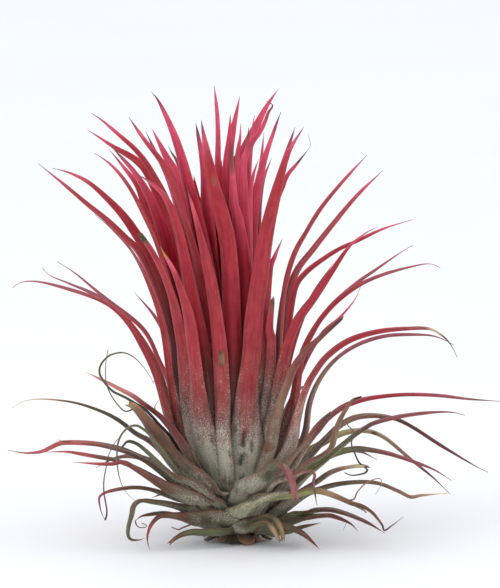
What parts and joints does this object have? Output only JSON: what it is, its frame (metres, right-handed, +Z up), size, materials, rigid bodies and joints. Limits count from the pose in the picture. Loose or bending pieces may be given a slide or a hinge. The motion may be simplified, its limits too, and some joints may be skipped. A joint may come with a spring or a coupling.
{
  "type": "air plant rosette",
  "caption": "Bare air plant rosette: upright blushing red heart, pale silvery leaf sheaths, arching and curled side leaves, dry low leaves.",
  "frame": {"origin": "middle of the flat underside of the stem, on the surface the plant stands on", "axes": "+Z up along the rosette; -Y towards the front of the plant; +X to its right seen from the front"},
  "size_m": [0.0975, 0.0726, 0.0904],
  "materials": {
    "stem": "dry fibrous bark",
    "heart_leaf": "satin crimson leaf, paler and dry at the tips",
    "upright_leaf": "satin red leaf over a silvery grey scaled sheath",
    "side_leaf": "satin leaf, red-brown to olive, silvery at the foot",
    "low_leaf": "matte olive grey scaled leaf with dry brown tips"
  },
  "bodies": {
    "root": {"stem": "stem", "heart_leaves": "heart_leaf", "front_leaf_1": "upright_leaf", "front_leaf_2": "upright_leaf", "front_leaf_3": "upright_leaf", "front_leaf_4": "upright_leaf", "front_leaf_5": "upright_leaf", "front_leaf_6": "upright_leaf", "front_leaf_7": "upright_leaf", "inner_left_leaf": "upright_leaf", "inner_right_leaf": "upright_leaf", "left_leaf_1": "upright_leaf", "left_leaf_2": "upright_leaf", "left_leaf_3": "upright_leaf", "left_leaf_4": "upright_leaf", "right_leaf_1": "upright_leaf", "right_leaf_2": "upright_leaf", "right_leaf_3": "upright_leaf", "rear_left_leaf_1": "upright_leaf", "rear_left_leaf_2": "upright_leaf", "rear_right_leaf_1": "upright_leaf", "rear_right_leaf_2": "upright_leaf", "left_leaf_5": "side_leaf", "left_leaf_6": "side_leaf", "left_leaf_7": "side_leaf", "left_leaf_8": "side_leaf", "left_leaf_9": "side_leaf", "left_leaf_10": "side_leaf", "left_leaf_11": "side_leaf", "left_leaf_12": "side_leaf", "right_leaf_4": "side_leaf", "right_leaf_5": "side_leaf", "right_leaf_6": "side_leaf", "right_leaf_7": "side_leaf", "right_leaf_9": "side_leaf", "right_leaf_10": "side_leaf", "right_leaf_11": "side_leaf", "right_leaf_13": "side_leaf", "right_leaf_14": "side_leaf", "rear_leaf_1": "side_leaf", "rear_leaf_2": "side_leaf", "rear_leaf_3": "side_leaf", "left_curl": "low_leaf", "left_leaf_13": "low_leaf", "left_leaf_14": "low_leaf", "left_leaf_15": "low_leaf", "left_leaf_16": "low_leaf", "left_leaf_17": "low_leaf", "right_leaf_8": "low_leaf", "right_leaf_12": "low_leaf", "right_leaf_15": "low_leaf", "right_leaf_16": "low_leaf", "right_leaf_17": "low_leaf", "right_leaf_18": "low_leaf", "right_leaf_19": "low_leaf", "right_leaf_20": "low_leaf", "right_leaf_21": "low_leaf", "rear_leaf_4": "low_leaf", "rear_leaf_5": "low_leaf", "rear_leaf_6": "low_leaf"}
  },
  "joints": []
}
